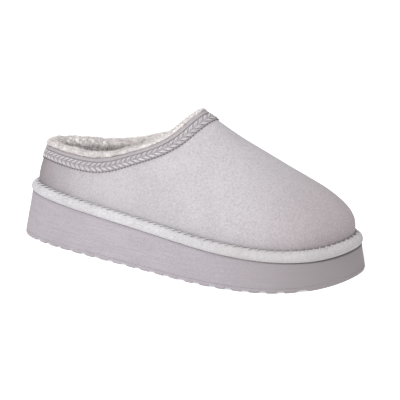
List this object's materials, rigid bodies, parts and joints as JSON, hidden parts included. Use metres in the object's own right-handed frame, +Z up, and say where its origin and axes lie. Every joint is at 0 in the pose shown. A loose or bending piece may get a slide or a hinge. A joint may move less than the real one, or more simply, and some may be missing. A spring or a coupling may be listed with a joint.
{
  "type": "platform house slipper",
  "caption": "Platform house slipper for the right foot: suede-look clog upper, braided collar, padded rand, fleece lining and a lugged outsole.",
  "frame": {"origin": "on the ground, in the middle of the sole's length and width", "axes": "+X to the toe, +Y to the inner side of the foot, +Z up"},
  "size_m": [0.27, 0.11, 0.1097],
  "materials": {
    "outsole": "matte",
    "platform": "matte",
    "rand": "matte",
    "padding": "matte",
    "thread": "satin",
    "dark_thread": "satin",
    "board": "matte",
    "fleece": "matte",
    "suede": "matte",
    "stiffener": "matte",
    "braid": "matte"
  },
  "bodies": {
    "root": {"outsole": "outsole", "midsole": "platform", "rand_cover": "rand", "rand_filler": "padding", "rand_stitches": "thread", "insole_board": "board", "strobel_seam": "thread", "footbed_foam": "padding", "footbed_fleece": "fleece", "upper_shell": "suede", "toe_puff": "stiffener", "heel_counter": "stiffener", "vamp_lining": "fleece", "heel_lining": "fleece", "collar_binding": "suede", "collar_braid": "braid", "braid_chevrons": "thread", "braid_stitches": "dark_thread", "heel_seam_stitches": "thread"}
  },
  "joints": []
}
